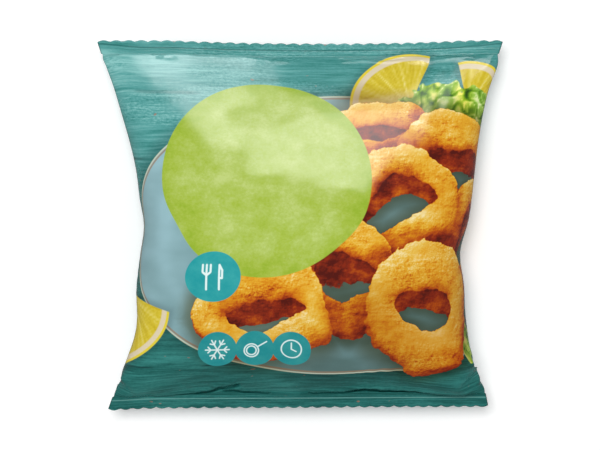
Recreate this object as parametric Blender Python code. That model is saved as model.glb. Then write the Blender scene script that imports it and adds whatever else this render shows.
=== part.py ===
"""Closed pillow pack of frozen food, lying on its back with the printed front up.

The pack is one closed solid. Its film belly runs between two crimped end seals, each a
thin band with a scalloped outer edge. The belly rests on a flat patch of its back, and
the back's long fin seal stands out as a low ridge beside that patch.
+X runs across the pack, +Y from its bottom seal to its top seal and +Z up from the table.
The origin is the bottom centre of the pack's own box.
"""
import math

import bmesh
import bpy
import numpy as np

# Driving dimensions, in metres.
TOP_WIDTH = 0.220
BOTTOM_WIDTH = 0.206
PACK_LENGTH = 0.201
SEAL_BAND = 0.0074
SEAL_THICKNESS = 0.0006
SEAL_HEIGHT = 0.0280
FOLD_HEIGHT = 0.0305
CROWN_HEIGHT = 0.0425

# Outline: how far the full belly pulls each side fold in, over what length from the
# seals, and the dents and swells along it, each a depth, a distance from the top edge
# and a reach.
LEFT_SIDE = {
    "pinch": 0.0195,
    "bottom_reach": 0.031,
    "bottom_power": 1.5,
    "dents": ((0.0015, 0.092, 0.030), (-0.0012, 0.130, 0.016)),
}
RIGHT_SIDE = {
    "pinch": 0.0143,
    "bottom_reach": 0.027,
    "bottom_power": 1.9,
    "dents": ((0.0040, 0.112, 0.020),),
}
TOP_REACH = 0.040
TOP_POWER = 1.4
TOP_EDGE_DIP = 0.0022
BOTTOM_EDGE_SKEW = 0.0011

# Belly: blunt at the bottom, where the contents settle, and a long wedge at the top.
BOTTOM_BLUNTNESS = 0.72
FULLEST_AT = BOTTOM_BLUNTNESS / (1 + BOTTOM_BLUNTNESS)
SIDE_SQUARENESS = 1.5
MOST_SQUARE = 8.0

# Seals: scallops, a slight droop of the band and a slow wave along it.
SCALLOPS = 32
SCALLOP_DEPTH = 0.0010
BAND_DROOP = 0.0010
SEAL_WAVE = 0.0008

# Puckers where the film gathers into the seals, and the fin seal of the back.
BOTTOM_PUCKER = 0.0009
TOP_PUCKER = 0.0006
PUCKER_OF_DEPTH = 0.20
FIN_LIFT = 0.0008
FIN_START = 0.0
FIN_END = 0.094
REST_EASING = 0.0020

# Mesh grid.
EDGE_CELLS = 4 * SCALLOPS
BELLY_CELLS = EDGE_CELLS // 2
BELLY_STRIPS = 28
CURVE_SAMPLES = 721
EVEN_SHARE = 0.25

FILM_COLOUR = (0.115, 0.355, 0.330, 1.0)
FILM_ROUGHNESS = 0.32


def remove_everything():
    """Start from an empty file."""
    for obj in list(bpy.data.objects):
        bpy.data.objects.remove(obj, do_unlink=True)


def depth_shape(t):
    """Relative depth of the belly at t, 0 at the bottom seal and 1 at the top seal.

    t to the power of the bluntness, times 1 - t, scaled to a largest value of 1.
    """
    peak = FULLEST_AT ** BOTTOM_BLUNTNESS * (1 - FULLEST_AT)
    return t ** BOTTOM_BLUNTNESS * (1 - t) / peak


def fold_inset(side, from_top):
    """How far a side fold is drawn in from the straight line between its corners."""
    from_bottom = PACK_LENGTH - from_top
    top = 1 - math.exp(-(from_top / TOP_REACH) ** TOP_POWER)
    bottom = 1 - math.exp(-(from_bottom / side["bottom_reach"]) ** side["bottom_power"])
    inset = side["pinch"] * top * bottom
    for depth, place, reach in side["dents"]:
        inset += depth * math.exp(-((from_top - place) / reach) ** 2)
    return inset


def side_folds(from_top):
    """X of the left and of the right side fold at a distance from the top edge."""
    share = from_top / PACK_LENGTH
    half_width = (TOP_WIDTH + (BOTTOM_WIDTH - TOP_WIDTH) * share) / 2
    left = -half_width + fold_inset(LEFT_SIDE, from_top)
    right = half_width - fold_inset(RIGHT_SIDE, from_top)
    return left, right


def section(depth):
    """Across the film's own width: place from -1 to 1, and height from 0 to 1.

    A superellipse, squarer where the belly is shallow, read at equal film lengths.
    """
    squareness = min(1 + SIDE_SQUARENESS * CROWN_HEIGHT / depth, MOST_SQUARE)
    angle = np.linspace(-math.pi / 2, math.pi / 2, CURVE_SAMPLES)
    across = np.sign(np.sin(angle)) * np.abs(np.sin(angle)) ** (2 / squareness)
    height = np.abs(np.cos(angle)) ** (2 / squareness)
    return across, height


def even_section(depth, half_width, cells):
    """The section read at cells + 1 places an equal length of film apart."""
    across, height = section(depth)
    steps = np.hypot(np.diff(across * half_width), np.diff(height * depth))
    length = np.concatenate([[0.0], np.cumsum(steps)])
    even = np.linspace(0.0, length[-1], cells + 1)
    return np.interp(even, length, across), np.interp(even, length, height)


def scallop(film, height):
    """Rounded bumps along a cut edge: the absolute sine, raised to the given height."""
    return height * np.abs(np.sin(math.pi * SCALLOPS * (film + 1) / 2))


def pucker(film, t, depth):
    """Low gathers that fan out of both seals, never deeper than the belly allows."""
    waves = 0.6 * np.cos(11 * math.pi * film + 0.7) + 0.4 * np.cos(16 * math.pi * film + 2.1)
    bottom = BOTTOM_PUCKER * math.exp(-((t - 0.09) / 0.07) ** 2)
    top = TOP_PUCKER * math.exp(-((t - 0.94) / 0.05) ** 2)
    return min(bottom + top, PUCKER_OF_DEPTH * depth) * waves


def seal_wave(film, at_top):
    """Slow rise and fall of a seal along its width."""
    phase = 0.4 if at_top else 1.9
    return SEAL_WAVE * np.sin(2.2 * math.pi * film + phase)


def rest_on_table(z):
    """Heights pressed flat by the table: 0 below it, easing into the free film above."""
    eased = (z + REST_EASING) ** 2 / (4 * REST_EASING)
    return np.where(z > REST_EASING, z, np.where(z < -REST_EASING, 0.0, eased))


def ring(from_bottom, cells, edge_bump):
    """Points round the pack at one distance from the bottom edge.

    They run left to right over the front, then right to left under the back; the two
    fold points are shared. edge_bump pushes a cut edge out into its scallops.
    """
    inner = PACK_LENGTH - 2 * SEAL_BAND
    t = min(max((from_bottom - SEAL_BAND) / inner, 0.0), 1.0)
    depth = max(CROWN_HEIGHT * depth_shape(t), SEAL_THICKNESS / 2)
    left, right = side_folds(PACK_LENGTH - from_bottom)
    across, height = even_section(depth, (right - left) / 2, cells)
    film = np.linspace(-1.0, 1.0, cells + 1)

    centre = (left + right) / 2
    x = centre + across * (right - left) / 2
    share = from_bottom / PACK_LENGTH
    dip = TOP_EDGE_DIP * (1 - film ** 2) * share
    skew = BOTTOM_EDGE_SKEW * (film + 1) / 2 * (1 - share)
    y = from_bottom - dip + skew + edge_bump * scallop(film, SCALLOP_DEPTH)

    past_seal = max(SEAL_BAND - from_bottom, from_bottom - (PACK_LENGTH - SEAL_BAND), 0.0)
    wave = seal_wave(film, at_top=t > 0.5) * (1 - depth_shape(t))
    fold = SEAL_HEIGHT + (FOLD_HEIGHT - SEAL_HEIGHT) * math.sin(math.pi * t)
    middle = fold + wave - BAND_DROOP * past_seal / SEAL_BAND

    gathers = pucker(film, t, depth)
    on_fin = (film >= FIN_START - 1e-6) & (film <= FIN_END + 1e-6) & (t > 0.0) & (t < 1.0)
    front = middle + (depth + gathers) * height
    back = rest_on_table(middle - (depth + gathers) * height - FIN_LIFT * on_fin)

    front_points = np.column_stack([x, y, front])
    back_points = np.column_stack([x, y, back])
    return np.concatenate([front_points, back_points[-2:0:-1]])


def ring_places():
    """Distance from the bottom edge, cells a side and scallop sign of every ring."""
    inner = PACK_LENGTH - 2 * SEAL_BAND
    places = [(SCALLOP_DEPTH, EDGE_CELLS, -1), (3 * SCALLOP_DEPTH, EDGE_CELLS, 0)]
    for step in range(BELLY_STRIPS + 1):
        even = step / BELLY_STRIPS
        eased = (1 - math.cos(math.pi * even)) / 2
        t = EVEN_SHARE * even + (1 - EVEN_SHARE) * eased
        places.append((SEAL_BAND + t * inner, BELLY_CELLS, 0))
    places.append((PACK_LENGTH - 3 * SCALLOP_DEPTH, EDGE_CELLS, 0))
    places.append((PACK_LENGTH - SCALLOP_DEPTH, EDGE_CELLS, 1))
    return places


def join_rings(bm, lower, upper):
    """Faces between two rings, which match or differ by a factor of two in points."""
    if len(lower) == len(upper):
        count = len(lower)
        for k in range(count):
            after = (k + 1) % count
            bm.faces.new((lower[k], lower[after], upper[after], upper[k]))
        return
    fine_below = len(lower) > len(upper)
    fine, coarse = (lower, upper) if fine_below else (upper, lower)
    for k in range(len(coarse)):
        near, far = coarse[k], coarse[(k + 1) % len(coarse)]
        start, middle, end = fine[2 * k], fine[2 * k + 1], fine[(2 * k + 2) % len(fine)]
        for face in ((start, middle, near), (middle, far, near), (middle, end, far)):
            bm.faces.new(face if fine_below else face[::-1])


def close_edge(bm, verts, faces_up):
    """The cut edge of a seal: a strip between its front points and its back points."""
    cells = len(verts) // 2
    for k in range(cells):
        front, front_next = verts[k], verts[k + 1]
        back, back_next = verts[-k], verts[-(k + 1)]
        corners = [front, back, back_next, front_next]
        unique = list(dict.fromkeys(corners))
        bm.faces.new(unique[::-1] if faces_up else unique)


def film_material():
    """Satin printed film in the pack's main colour."""
    material = bpy.data.materials.new("printed_film")
    material.use_nodes = True
    shader = material.node_tree.nodes["Principled BSDF"]
    shader.inputs["Base Color"].default_value = FILM_COLOUR
    shader.inputs["Roughness"].default_value = FILM_ROUGHNESS
    shader.inputs["Metallic"].default_value = 0.0
    return material


def build_pack():
    """The whole pack as one closed mesh, centred on its own box and resting on z = 0."""
    rings = [ring(*place) for place in ring_places()]
    points = np.concatenate(rings)
    centre = (points.min(axis=0) + points.max(axis=0)) / 2
    bm = bmesh.new()
    loops = []
    for points_of_ring in rings:
        moved = points_of_ring - [centre[0], centre[1], 0.0]
        loops.append([bm.verts.new(point) for point in moved])
    for lower, upper in zip(loops, loops[1:]):
        join_rings(bm, lower, upper)
    close_edge(bm, loops[0], faces_up=False)
    close_edge(bm, loops[-1], faces_up=True)

    mesh = bpy.data.meshes.new("pack")
    bm.to_mesh(mesh)
    bm.free()
    mesh.shade_smooth()
    mesh.set_sharp_from_angle(angle=math.radians(50))
    mesh.materials.append(film_material())
    pack = bpy.data.objects.new("pack", mesh)
    bpy.context.scene.collection.objects.link(pack)
    return pack


remove_everything()
build_pack()
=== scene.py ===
import math

import bpy
import numpy as np
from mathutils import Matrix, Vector


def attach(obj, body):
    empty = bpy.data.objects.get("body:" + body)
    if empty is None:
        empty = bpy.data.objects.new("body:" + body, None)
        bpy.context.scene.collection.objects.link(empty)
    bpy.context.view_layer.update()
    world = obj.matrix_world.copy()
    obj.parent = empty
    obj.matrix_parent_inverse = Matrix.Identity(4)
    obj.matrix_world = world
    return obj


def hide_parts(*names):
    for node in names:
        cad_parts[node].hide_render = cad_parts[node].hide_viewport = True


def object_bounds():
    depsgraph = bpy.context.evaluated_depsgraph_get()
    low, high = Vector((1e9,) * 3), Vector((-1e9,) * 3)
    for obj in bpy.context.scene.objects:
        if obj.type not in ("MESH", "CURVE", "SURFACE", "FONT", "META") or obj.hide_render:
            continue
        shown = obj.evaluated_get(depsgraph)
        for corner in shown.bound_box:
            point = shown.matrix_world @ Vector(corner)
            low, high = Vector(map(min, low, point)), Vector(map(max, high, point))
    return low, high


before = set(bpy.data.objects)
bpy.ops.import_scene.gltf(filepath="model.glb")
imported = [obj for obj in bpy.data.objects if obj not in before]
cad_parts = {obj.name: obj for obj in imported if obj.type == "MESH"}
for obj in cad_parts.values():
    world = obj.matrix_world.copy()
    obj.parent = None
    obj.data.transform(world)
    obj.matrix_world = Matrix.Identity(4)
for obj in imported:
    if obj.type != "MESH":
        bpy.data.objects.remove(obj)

# A full pillow pack of printed film, lying on its back with the printed front up.
#
# The film is a sheet that is relaxed under pressure between its two pinned seals, fitted to
# the frame's outline and height, and given crimped seals and creases. Its print is laid out
# in film millimetres, on the UV map "film": u runs across the front from -110 to 110 and on
# round both folds to the back's centre line, and v from the bottom seal to the top one.

MM = 0.001
CAD_LOW, CAD_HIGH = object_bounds()
RANDOM = np.random.default_rng(500)

# The pack, in metres, as the frame has it.
PACK_LENGTH, PACK_HEIGHT = CAD_HIGH.y - CAD_LOW.y, CAD_HIGH.z
TOP_HALF, BOTTOM_HALF = 0.110, 0.103
SEAL_BAND, SEAL_HEIGHT = 0.0074, 0.0280
# Each seal's reach to the left and right, at its inner line and at its cut edge.
TOP_INNER, TOP_EDGE = (0.1086, 0.1086), (0.1107, 0.1107)
BOTTOM_INNER, BOTTOM_EDGE = (0.1024, 0.1014), (0.1047, 0.1027)
# The top seal's dip has a depth, a place across the film and a reach to its left and right.
# The bottom seal's left corner droops. Both seals wave in height: turns across the film, and
# the wave's start at the bottom and at the top.
TOP_EDGE_RISE, BOTTOM_EDGE_SKEW = 0.0005, 0.0011
TOP_DIP, TOP_DIP_PLACE, TOP_DIP_REACH = 0.0018, 0.15, (0.79, 0.67)
CORNER_DROOP, CORNER_REACH = 0.0009, 0.13
SEAL_WAVE, WAVE_TURNS, WAVE_STARTS = 0.0008, 1.1, (1.9, 0.4)
# Each side fold: its pinch, the reach and power of its fade at the top and at the bottom,
# and its dents' depths, places from the top edge and reaches.
LEFT_DENTS = ((0.0025, 0.101, 0.012), (-0.0028, 0.137, 0.016), (-0.0016, 0.172, 0.015))
RIGHT_DENTS = ((-0.0016, 0.012, 0.010), (0.0040, 0.116, 0.014), (0.0012, 0.143, 0.014))
LEFT_SIDE = 0.0195, (0.040, 1.4), (0.0298, 1.7), LEFT_DENTS
RIGHT_SIDE = 0.0143, (0.040, 1.4), (0.027, 1.9), RIGHT_DENTS
FIT_FADE, BAND_DROOP = 0.006, 0.0005
SCALLOPS, SCALLOP_DEPTH, SCALLOP_START = 32, 0.0010, 0.6
# The film's underside is lifted by the gap, which fades out up to the lift height.
FLOOR_GAP, LIFT_HEIGHT = 0.0006, 0.010

# The empty film: half its width, as the print counts it and as it is at the bottom and at
# the top, and its length between the seals.
FILM_HALF, SLACK_HALVES, FILM_LENGTH = 0.110, (0.1028, 0.1088), 0.198
CHORD = PACK_LENGTH - 2 * SEAL_BAND

# How the film is relaxed: cells across one side, cells along, steps. The pressure falls to
# the top's share, starting part of the way up and over part of the pack's length.
RELAX_STAGES = ((22, 20, 500), (44, 40, 400), (88, 80, 700))
PRESSURE_STEP, DAMPING = 2e-5, 0.985
TOP_PRESSURE, FALL_START, FALL_LENGTH = 0.25, 0.35, 0.5
# How firmly each kind of thread pushes when it is too short and pulls when too long.
STRETCH, SHEAR, BEND = (1, 1), (0.4, 0.4), (0.05, 0)
# The plain pillow to start with: thickness, the power of its sine, pinch and roughness.
START_THICKNESS, START_POWER, START_PINCH, ROUGHEN = 0.07, 0.6, 0.2, 0.0004

# The fine grid's cells across the front and the back, and its rows, closer together beside
# the seals.
FRONT_CELLS = 240
BACK_CELLS = FRONT_CELLS // 2
END_ROWS, END_REACH, MIDDLE_ROWS, BAND_ROWS = 26, 0.055, 160, 24
# Its columns' places round the film, 0 to 1 on the front and 1 to 2 on the back, and across
# it, -1 to 1. Its rows' places along the belly and along a seal, 0 to 1.
FRONT, BACK = np.linspace(0, 1, FRONT_CELLS + 1), np.linspace(1, 2, BACK_CELLS + 1)
ROUND = np.concatenate([FRONT, BACK[1:-1]])
ACROSS = np.where(ROUND <= 1, 2 * ROUND - 1, 3 - 2 * ROUND)
END = np.linspace(0, END_REACH, END_ROWS + 1)
MIDDLE = np.linspace(END_REACH, 1 - END_REACH, MIDDLE_ROWS + 1)[1:-1]
ALONG = np.concatenate([END, MIDDLE, 1 - END[::-1]])
BAND = np.linspace(0, 1, BAND_ROWS + 1)[1:]
# The columns' u and the rows' v, in film millimetres.
LENGTH_MM, GIRTH_MM = FILM_LENGTH / MM, 4 * FILM_HALF / MM
FILM_U = FILM_HALF / MM * np.where(ROUND <= 1.5, 2 * ROUND - 1, 2 * ROUND - 5)
BAND_V = SEAL_BAND / MM * BAND
FILM_V = np.concatenate([-BAND_V[::-1], LENGTH_MM * ALONG, LENGTH_MM + BAND_V])
# Half the gap between a seal's faces, up on the front, down on the back, closed at the folds.
SEAL_HALF_GAP, GAP_CLOSING = 0.0001, 20
SIDE_GAP = SEAL_HALF_GAP * np.minimum(1, GAP_CLOSING * (1 - np.abs(ACROSS)))
SIDE_GAP = SIDE_GAP * np.where(ROUND <= 1, 1, -1)
# The jaw's grooves across a seal: place from its inner line, depth and half width.
GROOVES = ((0.10, 0.00010, 0.05), (0.28, 0.00016, 0.05), (0.52, 0.00014, 0.06))

FIN_WIDTH, FIN_THICKNESS, FIN_GAP = 0.012, 0.0003, 0.0001
FIN_CELLS, FIN_RIBS, FIN_RIB_DEPTH = 20, 5, 0.00008

# The film's relief, in millimetres. Lumps and dimples, each of a size, a height and a number
# of waves, fade in over the belly's reach from the seals.
LUMPS, DIMPLES, BELLY_REACH = (58, 0.40, 26), (17, 0.022, 40), 30
WAVE_SHORTEST, WAVE_SPREAD = 0.75, 0.8
# Gathers beside the seals: height, waves round the film, reach at the bottom and at the top,
# and climb.
GATHER_HEIGHT, GATHER_WAVES = 0.025, (13, 21, 34, 47, 61)
GATHER_REACHES, GATHER_CLIMB = (9, 7), 1.5
# Creases fade over their ends and beside the folds, sink no deeper than a share of the room
# inside, and climb from the seals. A lip stands beside its groove, in groove widths.
CREASE_END, CREASE_LIMIT, CREASE_FADE, CREASE_ROOM, CREASE_CLIMB = 4.0, 118, 14, 0.7, 0.8
LIP_PLACE, LIP_HALF = 1.7, 1.1
# Each crease: its line, its groove's depth and half width, its lip's height, and how far the
# lip is pulled over the groove, up (+) or down (-).
CREASES = (
    (((-101, 197.0), (-92, 197.0), (-84, 196.2), (-80, 194.2)), 1.6, 0.9, 0.3, 0.5),
    (((-81, 192.8), (-78, 193.6), (-74, 196.6)), 1.3, 0.8, 0.4, -0.4),
    (((-75, 196.8), (-66, 196.0), (-56, 195.2)), 1.6, 0.9, 0.3, 0.5),
    (((-54, 196.6), (-40, 196.8), (-28, 196.4)), 0.9, 0.8, 0.2, 0.3),
    (((20, 195.8), (34, 196.4), (46, 195.4), (58, 196.2)), 0.9, 0.8, 0.2, 0.3),
    (((72, 195.6), (84, 196.8), (98, 196.2)), 1.4, 0.9, 0.3, 0.4),
    (((-88, 0.9), (-66, 1.8), (-54, 3.6), (-45, 7.2), (-32, 9.8)), 5.0, 1.4, 0.9, -0.5),
    (((-47, 3.2), (-40, 4.8), (-32, 3.0), (-16, 2.0)), 3.8, 1.1, 0.5, -0.3),
    (
        ((4, 1.6), (22, 2.0), (38, 4.8), (52, 3.6), (66, 3.8), (80, 2.6), (101, 1.6)),
        5.4, 1.4, 0.9, -0.5,
    ),
)
# A swelling under the top seal: its rise, its climb from the seal and its fade down the
# film, and where it starts, ends and blends along u.
SHELF_RISE, SHELF_CLIMB, SHELF_FADE = 4.5, 4.0, 14.0
SHELF_LEFT, SHELF_RIGHT, SHELF_BLEND = -117, -8, 24
# Swells and dents of the film: place, reach and height.
SWELLS = (
    ((-30, 166), (26, 7), -0.40),
    ((-52, 148), (14, 8), 0.30),
    ((-73, 193.4), (5, 1.5), -0.5),
    ((-16, 195.0), (9, 1.8), 0.35),
    ((40, 162), (44, 12), 0.8),
    ((66, 194.4), (6, 1.8), 0.7),
    ((93, 194.8), (7, 1.6), 0.7),
)

# ---- the film's shape

def ease(value):
    """The smooth step 3 t^2 - 2 t^3 of a value clipped to 0..1."""
    value = np.clip(value, 0, 1)
    return value * value * (3 - 2 * value)


def bell(value, place, half):
    """A Gaussian of height one: exp(-((value - place) / half) ** 2)."""
    return np.exp(-((value - place) / half) ** 2)


def unit(vectors):
    """Vectors over their lengths, with a hair added to keep off zero."""
    return vectors / (np.linalg.norm(vectors, axis=-1, keepdims=True) + 1e-12)


def seal_line(film, at_top):
    """Points of a seal's inner line at places from -1 to 1 across the film.

    A line of the seal's width with a slow wave in height. The top one dips by a parabola,
    and the bottom one is skewed, with a Gaussian droop at its left corner.
    """
    left, right = TOP_INNER if at_top else BOTTOM_INNER
    turn = 2 * math.pi * WAVE_TURNS * film + WAVE_STARTS[at_top]
    z = SEAL_HEIGHT + SEAL_WAVE * np.sin(turn)
    if at_top:
        reach = np.where(film < TOP_DIP_PLACE, *TOP_DIP_REACH)
        dip = TOP_DIP * np.clip(1 - ((film - TOP_DIP_PLACE) / reach) ** 2, 0, 1)
        y = CAD_HIGH.y + TOP_EDGE_RISE - SEAL_BAND - dip
    else:
        droop = CORNER_DROOP * bell(film, -1, CORNER_REACH)
        y = CAD_LOW.y + SEAL_BAND + BOTTOM_EDGE_SKEW * (film + 1) / 2 - droop
    return np.stack([np.where(film < 0, left, right) * film, y + 0 * film, z], axis=-1)


def girth_places(cells):
    """Places across the film round one ring, over the front and back under the back."""
    across = np.linspace(-1, 1, cells + 1)
    return np.concatenate([across, across[-2:0:-1]])


def first_film(cells, rows):
    """A plain pillow: an elliptic section whose depth follows a sine along the pack."""
    film = girth_places(cells)
    side = np.where(np.arange(2 * cells) < cells, 1, -1)
    t = np.linspace(0, 1, rows + 1)[:, None]
    depth = np.sin(math.pi * t) ** START_POWER
    bottom, top = seal_line(film, False), seal_line(film, True)
    points = bottom * (1 - t[..., None]) + top * t[..., None]
    points[..., 0] *= 1 - START_PINCH * depth
    points[..., 2] += side * START_THICKNESS / 2 * depth * np.sqrt(1 - film ** 2)
    return points


def film_edges(rows, ring):
    """Sets of threads that share no point: their two ends, rest lengths and firmness.

    Stretch runs along both sides of the cells and shear along both diagonals. Bend joins
    every second point.
    """
    index = np.arange((rows + 1) * ring).reshape(rows + 1, ring)
    t = np.linspace(0, 1, rows + 1)[:, None] + np.zeros((1, ring))
    across = 4 * (SLACK_HALVES[0] * (1 - t) + SLACK_HALVES[1] * t) / ring
    along = FILM_LENGTH / rows
    sets = []

    def add(first, second, rest, firmness):
        rest = np.broadcast_to(rest, first.shape).ravel()
        sets.append((first.ravel(), second.ravel(), rest, firmness))

    after = np.roll(index, -1, 1)
    for start in (0, 1):
        add(index[:, start::2], after[:, start::2], across[:, start::2], STRETCH)
        lower, upper = index[start:-1:2], index[start + 1::2]
        diagonal = np.hypot(across[start:-1:2], along)
        add(lower, upper, along, STRETCH)
        add(lower, np.roll(upper, -1, 1), diagonal, SHEAR)
        add(lower, np.roll(upper, 1, 1), diagonal, SHEAR)
    second_after = np.roll(index, -2, 1)
    for start in (0, 2):
        columns = (np.arange(ring) - start) % 4 < 2
        add(index[:, columns], second_after[:, columns], 2 * across[:, columns], BEND)
        chosen = np.flatnonzero((np.arange(rows - 1) - start) % 4 < 2)
        add(index[chosen], index[chosen + 2], 2 * along, BEND)
    return sets


def halve_cells(points):
    """Twice the rows and columns, with cubic midpoints (9, 9, -1, -1) / 16."""
    rows, ring, _ = points.shape
    tall = np.zeros((2 * rows - 1, ring, 3))
    tall[::2] = points
    tall[1::2] = (points[1:] + points[:-1]) / 2
    tall[3:-3:2] = (9 * (points[1:-2] + points[2:-1]) - (points[:-3] + points[3:])) / 16
    wide = np.zeros((2 * rows - 1, 2 * ring, 3))
    wide[:, ::2] = tall
    near = tall + np.roll(tall, -1, 1)
    far = np.roll(tall, 1, 1) + np.roll(tall, -2, 1)
    wide[:, 1::2] = (9 * near - far) / 16
    return wide


def relax(points, steps, push):
    """Film under pressure.

    Each step pushes every point along its normal and on with its own speed, then draws
    the threads back towards their rest lengths and keeps the film on the table.
    """
    rows, ring = points.shape[0] - 1, points.shape[1]
    place = points.reshape(-1, 3).copy()
    free = np.ones(len(place))
    free[:ring] = free[-ring:] = 0
    sets = []
    for first, second, rest, firmness in film_edges(rows, ring):
        moving = (free[first] + free[second]) > 0
        first, second, rest = first[moving], second[moving], rest[moving]
        first_share = (free[first] / (free[first] + free[second]))[:, None]
        sets.append((first, second, first_share, rest, firmness))
    speed = np.zeros_like(place)
    for _ in range(steps):
        grid = place.reshape(rows + 1, ring, 3)
        round_step = np.roll(grid, -1, 1) - np.roll(grid, 1, 1)
        along_step = np.zeros_like(grid)
        along_step[1:-1] = grid[2:] - grid[:-2]
        up_pack = (grid[..., 1] + CHORD / 2) / CHORD
        fall = np.clip((up_pack - FALL_START) / FALL_LENGTH, 0, 1)
        pressure = 1 - (1 - TOP_PRESSURE) * fall
        force = unit(np.cross(round_step, along_step)) * pressure[..., None] * push
        before = place.copy()
        speed = speed * DAMPING + force.reshape(-1, 3) * free[:, None]
        place = place + speed
        for first, second, first_share, rest, firmness in sets:
            gap = place[second] - place[first]
            length = np.sqrt((gap * gap).sum(1))
            excess = (length - rest) / np.maximum(length, 1e-9)
            gap = gap * (excess * np.where(excess < 0, *firmness))[:, None]
            place[first] += first_share * gap
            place[second] -= (1 - first_share) * gap
        under = place[:, 2] < 0
        place[under, 2] = 0
        place[under, :2] = (before[under, :2] + place[under, :2]) / 2
        speed = place - before
    return place.reshape(rows + 1, ring, 3)


def relaxed_film():
    """The filled film between its seal lines, coarse first and then finer."""
    points = None
    for cells, rows, steps in RELAX_STAGES:
        points = first_film(cells, rows) if points is None else halve_cells(points)
        film = girth_places(cells)
        points[0], points[-1] = seal_line(film, False), seal_line(film, True)
        points[1:-1, :, 2] += RANDOM.normal(size=points[1:-1].shape[:2]) * ROUGHEN
        points = relax(points, steps, PRESSURE_STEP * RELAX_STAGES[0][0] / cells)
    return points


def fold_inset(side, from_top):
    """How far a side fold is drawn in from the straight line between its corners.

    A pinch that fades towards both seals, 1 - exp(-(distance / reach) ** power), and a
    Gaussian for each dent.
    """
    inset, top, bottom, dents = side
    for away, (reach, power) in ((from_top, top), (PACK_LENGTH - from_top, bottom)):
        inset = inset * (1 - np.exp(-(np.maximum(away, 0) / reach) ** power))
    for depth, place, reach in dents:
        inset = inset + depth * bell(from_top, place, reach)
    return inset


def side_folds(y):
    """X of the left and of the right side fold at heights y along the pack."""
    from_top = CAD_HIGH.y - y
    half = TOP_HALF + (BOTTOM_HALF - TOP_HALF) * from_top / PACK_LENGTH
    return fold_inset(LEFT_SIDE, from_top) - half, half - fold_inset(RIGHT_SIDE, from_top)


def film_folds(points, y):
    """X of the relaxed film's left and right extent at heights y, smoothed along it."""
    kernel = np.array([1, 2, 1]) / 4
    extents = []
    for pick in (np.argmin, np.argmax):
        column = pick(points[..., 0], axis=1)
        row = np.arange(len(points))
        across, along = points[row, column, 0], points[row, column, 1]
        across = np.convolve(np.pad(across, 1, mode="edge"), kernel, mode="valid")
        order = np.argsort(along)
        extents.append(np.interp(y, along[order], across[order]))
    return extents


def fit_to_frame(points):
    """Stretches the relaxed film across and in height until it fills the frame's solid."""
    fitted = points.copy()
    y = points[..., 1]
    film_left, film_right = film_folds(points, y)
    left, right = side_folds(y)
    share = (points[..., 0] - film_left) / (film_right - film_left)
    fade = ease(np.minimum(y - y.min(), y.max() - y) / FIT_FADE)
    fitted[..., 0] += (left + share * (right - left) - points[..., 0]) * fade
    fitted[..., 2] *= PACK_HEIGHT / points[..., 2].max()
    fitted[..., 2] += FLOOR_GAP * np.clip(1 - fitted[..., 2] / LIFT_HEIGHT, 0, 1)
    return fitted


def spline_read(grid, places, closed):
    """Rows of a grid read at the given places by cubic B-splines.

    A closed grid wraps round. An open one carries on straight past its ends, so that its
    first and last rows are met exactly.
    """
    cell = np.floor(places).astype(int)
    if closed:
        padded = grid[-1:], grid, grid[:2]
    else:
        cell = np.minimum(cell, len(grid) - 2)
        padded = 2 * grid[:1] - grid[1:2], grid, 2 * grid[-1:] - grid[-2:-1]
    padded = np.concatenate(padded)
    f = (places - cell)[:, None, None]
    basis = (
        (1 - f) ** 3,
        3 * f ** 3 - 6 * f ** 2 + 4,
        -3 * f ** 3 + 3 * f ** 2 + 3 * f + 1,
        f ** 3,
    )
    return sum(weight * padded[cell + step] for step, weight in enumerate(basis)) / 6


def fine_film(points):
    """The fitted film read on the fine grid, and its two faces kept a hair apart."""
    rows, ring, _ = points.shape
    fine = spline_read(points, ALONG * (rows - 1), False)
    fine = spline_read(fine.swapaxes(0, 1), ROUND * ring / 2, True).swapaxes(0, 1)
    fine[0], fine[-1] = seal_line(ACROSS, False), seal_line(ACROSS, True)
    fine[..., 2] += SIDE_GAP
    return fine


def seal_band(at_top):
    """Rows of a seal from its inner line to its scalloped edge, the inner line left out.

    The band runs straight outward with a slight droop, its sides slant to the cut edge's
    width, its scallops are an absolute sine, and each of the jaw's grooves is a Gaussian.
    """
    outward, share = 1 if at_top else -1, BAND[:, None]
    edge = np.clip((share - SCALLOP_START) / (1 - SCALLOP_START), 0, 1)
    scallops = SCALLOP_DEPTH * np.abs(np.sin(math.pi * SCALLOPS * (ACROSS + 1) / 2))
    rows = np.repeat(seal_line(ACROSS, at_top)[None], BAND_ROWS, axis=0)
    ends, edges = (TOP_INNER, TOP_EDGE) if at_top else (BOTTOM_INNER, BOTTOM_EDGE)
    flare = np.where(ACROSS < 0, edges[0] / ends[0], edges[1] / ends[1]) - 1
    rows[..., 0] *= 1 + flare * share
    rows[..., 1] += outward * ((SEAL_BAND - SCALLOP_DEPTH) * share + scallops * edge ** 2)
    grooves = sum(depth * bell(share, place, half) for place, depth, half in GROOVES)
    rows[..., 2] += SIDE_GAP - grooves - BAND_DROOP * share ** 2
    return rows if at_top else rows[::-1]


def outward_normals(points):
    """Unit normals of a closed grid from central differences, one-sided at its ends."""
    round_step = np.roll(points, -1, 1) - np.roll(points, 1, 1)
    return unit(np.cross(round_step, np.gradient(points, axis=0)))


# ---- relief

def plane_waves(u, v, size, count):
    """Smooth lumps of about the given size and a spread of one: a sum of cosines in random
    directions, each with a whole number of waves round the film."""
    total = np.zeros(np.broadcast(u, v).shape)
    for _ in range(count):
        angle, stretch, phase = RANDOM.uniform(0, 1, 3)
        wave = size * (WAVE_SHORTEST + WAVE_SPREAD * stretch)
        round_waves = round(GIRTH_MM / wave * math.cos(math.pi * angle))
        along = 2 * math.pi * math.sin(math.pi * angle) / wave
        total += np.cos(2 * math.pi * (round_waves * u / GIRTH_MM + phase) + along * v)
    return total * math.sqrt(2 / count)


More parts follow.
